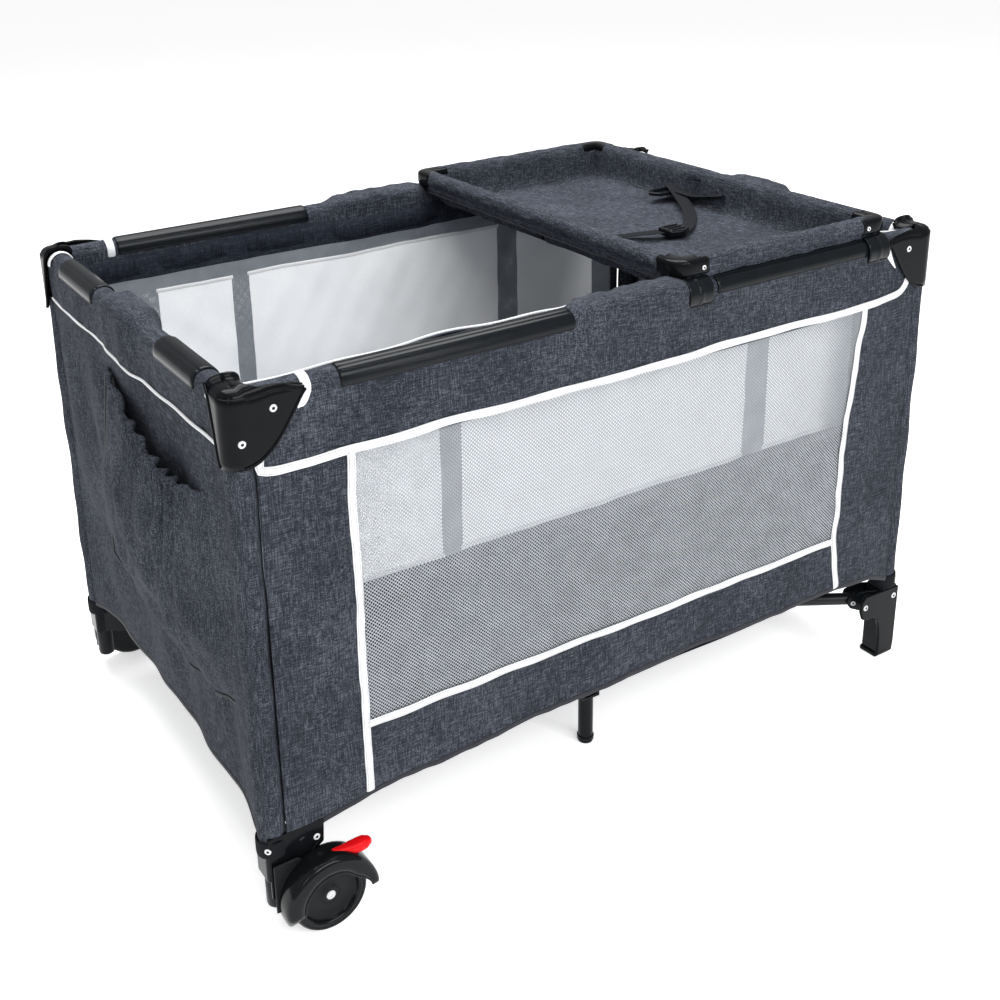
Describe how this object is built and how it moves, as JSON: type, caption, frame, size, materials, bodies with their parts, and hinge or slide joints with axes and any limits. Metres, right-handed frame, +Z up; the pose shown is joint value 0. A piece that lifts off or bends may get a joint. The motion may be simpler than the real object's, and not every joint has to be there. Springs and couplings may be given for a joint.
{
  "type": "travel play yard",
  "caption": "Folding fabric-walled play yard with mesh windows, a hanging bassinet insert with mattress, an end pocket, a hook-on changing tray, and wheels with brakes on one end.",
  "frame": {"origin": "bottom centre of the bounding box", "axes": "+X along the long side away from the wheels, -Y the front long side, +Z up"},
  "size_m": [1.15, 0.782, 0.773],
  "materials": {
    "charcoal_cloth": "woven melange cloth",
    "mesh_net": "open net",
    "white_panel": "white lining cloth",
    "mattress_cloth": "woven cloth",
    "webbing": "woven webbing",
    "black_plastic": "moulded gloss",
    "red_plastic": "moulded gloss",
    "wheel_plastic": "moulded gloss",
    "painted_tube": "satin powder coat"
  },
  "bodies": {
    "corner_front_left": {"post_front_left": "painted_tube", "cap_front_left": "black_plastic", "wheel_bracket_front": "black_plastic", "wall_front": "charcoal_cloth", "window_front": "mesh_net", "wall_left": "charcoal_cloth", "end_pocket": "charcoal_cloth", "insert_front": "white_panel", "insert_left": "white_panel"},
    "corner_front_right": {"post_front_right": "painted_tube", "cap_front_right": "black_plastic", "foot_bracket_front": "black_plastic", "wall_right": "charcoal_cloth", "insert_right": "white_panel"},
    "corner_back_left": {"post_back_left": "painted_tube", "cap_back_left": "black_plastic", "wheel_bracket_back": "black_plastic", "wall_back": "charcoal_cloth", "window_back": "mesh_net", "insert_back": "white_panel"},
    "corner_back_right": {"post_back_right": "painted_tube", "cap_back_right": "black_plastic", "foot_bracket_back": "black_plastic"},
    "long_rail_front_left": {"long_rail_front_left": "painted_tube"},
    "short_rail_front_left": {"short_rail_front_left": "painted_tube"},
    "arm_front_left": {"arm_front_left": "painted_tube"},
    "long_rail_front_right": {"long_rail_front_right": "painted_tube"},
    "short_rail_front_right": {"short_rail_front_right": "painted_tube"},
    "arm_front_right": {"arm_front_right": "painted_tube"},
    "long_rail_back_left": {"long_rail_back_left": "painted_tube"},
    "short_rail_back_left": {"short_rail_back_left": "painted_tube"},
    "arm_back_left": {"arm_back_left": "painted_tube"},
    "long_rail_back_right": {"long_rail_back_right": "painted_tube"},
    "short_rail_back_right": {"short_rail_back_right": "painted_tube"},
    "arm_back_right": {"arm_back_right": "painted_tube"},
    "hub": {"hub": "black_plastic", "floor_panel": "charcoal_cloth"},
    "cross_arm_front": {"cross_arm_front": "painted_tube"},
    "mid_leg_front": {"mid_leg_front": "black_plastic"},
    "wheel_front": {"wheel_front": "wheel_plastic"},
    "brake_pedal_front": {"brake_pedal_front": "red_plastic"},
    "lock_front": {"lock_front": "black_plastic"},
    "button_front": {"button_front": "black_plastic"},
    "cross_arm_back": {"cross_arm_back": "painted_tube"},
    "mid_leg_back": {"mid_leg_back": "black_plastic"},
    "wheel_back": {"wheel_back": "wheel_plastic"},
    "brake_pedal_back": {"brake_pedal_back": "red_plastic"},
    "lock_back": {"lock_back": "black_plastic"},
    "button_back": {"button_back": "black_plastic"},
    "lock_left": {"lock_left": "black_plastic"},
    "button_left": {"button_left": "black_plastic"},
    "lock_right": {"lock_right": "black_plastic"},
    "button_right": {"button_right": "black_plastic"},
    "mattress": {"mattress": "mattress_cloth"},
    "changing_tray": {"tray_frame": "painted_tube", "tray_hooks": "black_plastic", "tray_cloth": "charcoal_cloth", "tray_strap": "webbing", "tray_buckle": "black_plastic"}
  },
  "joints": [
    {"name": "fold", "type": "hinge", "parent": "corner_front_left", "child": "arm_front_left", "pos_m": [-0.51236, -0.31388, 0.1], "axis": [0.5224, -0.8527, 0], "range_deg": [0, 82], "deforming": ["wall_front", "window_front", "wall_left", "end_pocket", "insert_front", "insert_left", "wall_back", "window_back", "insert_back", "wall_right", "insert_right", "floor_panel"]},
    {"name": "hub_level", "type": "hinge", "parent": "arm_front_left", "child": "hub", "pos_m": [-0.05116, -0.03134, 0.1], "axis": [0.5224, -0.8527, 0], "range_deg": [-82, 0]},
    {"name": "arm_front_right_swing", "type": "hinge", "parent": "hub", "child": "arm_front_right", "pos_m": [0.05116, -0.03134, 0.1], "axis": [0.5224, 0.8527, 0], "range_deg": [0, 82]},
    {"name": "post_front_right_level", "type": "hinge", "parent": "arm_front_right", "child": "corner_front_right", "pos_m": [0.51236, -0.31388, 0.1], "axis": [0.5224, 0.8527, 0], "range_deg": [-82, 0]},
    {"name": "arm_back_left_swing", "type": "hinge", "parent": "hub", "child": "arm_back_left", "pos_m": [-0.05116, 0.03134, 0.1], "axis": [-0.5224, -0.8527, 0], "range_deg": [0, 82]},
    {"name": "post_back_left_level", "type": "hinge", "parent": "arm_back_left", "child": "corner_back_left", "pos_m": [-0.51236, 0.31388, 0.1], "axis": [-0.5224, -0.8527, 0], "range_deg": [-82, 0]},
    {"name": "arm_back_right_swing", "type": "hinge", "parent": "hub", "child": "arm_back_right", "pos_m": [0.05116, 0.03134, 0.1], "axis": [-0.5224, 0.8527, 0], "range_deg": [0, 82]},
    {"name": "post_back_right_level", "type": "hinge", "parent": "arm_back_right", "child": "corner_back_right", "pos_m": [0.51236, 0.31388, 0.1], "axis": [-0.5224, 0.8527, 0], "range_deg": [-82, 0]},
    {"name": "long_rail_front_left_drop", "type": "hinge", "parent": "corner_front_left", "child": "long_rail_front_left", "pos_m": [-0.509, -0.34, 0.728], "axis": [0, 1, 0], "range_deg": [0, 82]},
    {"name": "lock_front_level", "type": "hinge", "parent": "long_rail_front_left", "child": "lock_front", "pos_m": [-0.0478, -0.34, 0.728], "axis": [0, 1, 0], "range_deg": [-82, 0]},
    {"name": "short_rail_front_left_drop", "type": "hinge", "parent": "corner_front_left", "child": "short_rail_front_left", "pos_m": [-0.555, -0.304, 0.728], "axis": [-1, 0, 0], "range_deg": [0, 82]},
    {"name": "lock_left_level", "type": "hinge", "parent": "short_rail_front_left", "child": "lock_left", "pos_m": [-0.555, -0.02146, 0.728], "axis": [-1, 0, 0], "range_deg": [-82, 0]},
    {"name": "long_rail_front_right_drop", "type": "hinge", "parent": "corner_front_right", "child": "long_rail_front_right", "pos_m": [0.509, -0.34, 0.728], "axis": [0, -1, 0], "range_deg": [0, 82]},
    {"name": "short_rail_front_right_drop", "type": "hinge", "parent": "corner_front_right", "child": "short_rail_front_right", "pos_m": [0.555, -0.304, 0.728], "axis": [-1, 0, 0], "range_deg": [0, 82]},
    {"name": "lock_right_level", "type": "hinge", "parent": "short_rail_front_right", "child": "lock_right", "pos_m": [0.555, -0.02146, 0.728], "axis": [-1, 0, 0], "range_deg": [-82, 0]},
    {"name": "long_rail_back_left_drop", "type": "hinge", "parent": "corner_back_left", "child": "long_rail_back_left", "pos_m": [-0.509, 0.34, 0.728], "axis": [0, 1, 0], "range_deg": [0, 82]},
    {"name": "lock_back_level", "type": "hinge", "parent": "long_rail_back_left", "child": "lock_back", "pos_m": [-0.0478, 0.34, 0.728], "axis": [0, 1, 0], "range_deg": [-82, 0]},
    {"name": "short_rail_back_left_drop", "type": "hinge", "parent": "corner_back_left", "child": "short_rail_back_left", "pos_m": [-0.555, 0.304, 0.728], "axis": [1, 0, 0], "range_deg": [0, 82]},
    {"name": "long_rail_back_right_drop", "type": "hinge", "parent": "corner_back_right", "child": "long_rail_back_right", "pos_m": [0.509, 0.34, 0.728], "axis": [0, -1, 0], "range_deg": [0, 82]},
    {"name": "short_rail_back_right_drop", "type": "hinge", "parent": "corner_back_right", "child": "short_rail_back_right", "pos_m": [0.555, 0.304, 0.728], "axis": [1, 0, 0], "range_deg": [0, 82]},
    {"name": "cross_arm_front_drop", "type": "hinge", "parent": "hub", "child": "cross_arm_front", "pos_m": [0, -0.06, 0.1], "axis": [1, 0, 0], "range_deg": [0, 82]},
    {"name": "mid_leg_front_level", "type": "hinge", "parent": "cross_arm_front", "child": "mid_leg_front", "pos_m": [0, -0.258, 0.1], "axis": [1, 0, 0], "range_deg": [-82, 0]},
    {"name": "wheel_front_roll", "type": "hinge", "parent": "corner_front_left", "child": "wheel_front", "pos_m": [-0.499, -0.376, 0.052], "axis": [0, 1, 0], "continuous": true},
    {"name": "brake_pedal_front_press", "type": "hinge", "parent": "corner_front_left", "child": "brake_pedal_front", "pos_m": [-0.534, -0.376, 0.108], "axis": [0, 1, 0], "range_deg": [0, 7], "stiffness_Nm_per_rad": 0.5},
    {"name": "cross_arm_back_drop", "type": "hinge", "parent": "hub", "child": "cross_arm_back", "pos_m": [0, 0.06, 0.1], "axis": [-1, 0, 0], "range_deg": [0, 82]},
    {"name": "mid_leg_back_level", "type": "hinge", "parent": "cross_arm_back", "child": "mid_leg_back", "pos_m": [0, 0.258, 0.1], "axis": [-1, 0, 0], "range_deg": [-82, 0]},
    {"name": "wheel_back_roll", "type": "hinge", "parent": "corner_back_left", "child": "wheel_back", "pos_m": [-0.499, 0.376, 0.052], "axis": [0, 1, 0], "continuous": true},
    {"name": "brake_pedal_back_press", "type": "hinge", "parent": "corner_back_left", "child": "brake_pedal_back", "pos_m": [-0.534, 0.376, 0.108], "axis": [0, 1, 0], "range_deg": [0, 7], "stiffness_Nm_per_rad": 0.5},
    {"name": "button_front_push", "type": "slide", "parent": "lock_front", "child": "button_front", "axis": [0, 0, 1], "range_m": [0, 0.005], "stiffness_N_per_m": 400},
    {"name": "button_back_push", "type": "slide", "parent": "lock_back", "child": "button_back", "axis": [0, 0, 1], "range_m": [0, 0.005], "stiffness_N_per_m": 400},
    {"name": "button_left_push", "type": "slide", "parent": "lock_left", "child": "button_left", "axis": [0, 0, 1], "range_m": [0, 0.005], "stiffness_N_per_m": 400},
    {"name": "button_right_push", "type": "slide", "parent": "lock_right", "child": "button_right", "axis": [0, 0, 1], "range_m": [0, 0.005], "stiffness_N_per_m": 400},
    {"name": "mattress_lift_out", "type": "slide", "parent": "hub", "child": "mattress", "axis": [0, 0, 1], "range_m": [0, 0.8607]},
    {"name": "changing_tray_lift_off", "type": "slide", "parent": "hub", "child": "changing_tray", "axis": [0, 0, 1], "range_m": [0, 0.646]}
  ],
  "couplings": [
    {"joint": "hub_level", "follows": "fold", "ratio": -1},
    {"joint": "arm_front_right_swing", "follows": "fold", "ratio": 1},
    {"joint": "post_front_right_level", "follows": "fold", "ratio": -1},
    {"joint": "arm_back_left_swing", "follows": "fold", "ratio": 1},
    {"joint": "post_back_left_level", "follows": "fold", "ratio": -1},
    {"joint": "arm_back_right_swing", "follows": "fold", "ratio": 1},
    {"joint": "post_back_right_level", "follows": "fold", "ratio": -1},
    {"joint": "long_rail_front_left_drop", "follows": "fold", "ratio": 1},
    {"joint": "lock_front_level", "follows": "fold", "ratio": -1},
    {"joint": "short_rail_front_left_drop", "follows": "fold", "ratio": 1},
    {"joint": "lock_left_level", "follows": "fold", "ratio": -1},
    {"joint": "long_rail_front_right_drop", "follows": "fold", "ratio": 1},
    {"joint": "short_rail_front_right_drop", "follows": "fold", "ratio": 1},
    {"joint": "lock_right_level", "follows": "fold", "ratio": -1},
    {"joint": "long_rail_back_left_drop", "follows": "fold", "ratio": 1},
    {"joint": "lock_back_level", "follows": "fold", "ratio": -1},
    {"joint": "short_rail_back_left_drop", "follows": "fold", "ratio": 1},
    {"joint": "long_rail_back_right_drop", "follows": "fold", "ratio": 1},
    {"joint": "short_rail_back_right_drop", "follows": "fold", "ratio": 1},
    {"joint": "cross_arm_front_drop", "follows": "fold", "ratio": 1},
    {"joint": "mid_leg_front_level", "follows": "fold", "ratio": -1},
    {"joint": "cross_arm_back_drop", "follows": "fold", "ratio": 1},
    {"joint": "mid_leg_back_level", "follows": "fold", "ratio": -1},
    {"joint": "mattress_lift_out", "follows": "fold", "m_per_rad": 0.6},
    {"joint": "changing_tray_lift_off", "follows": "fold", "m_per_rad": 0.45}
  ]
}
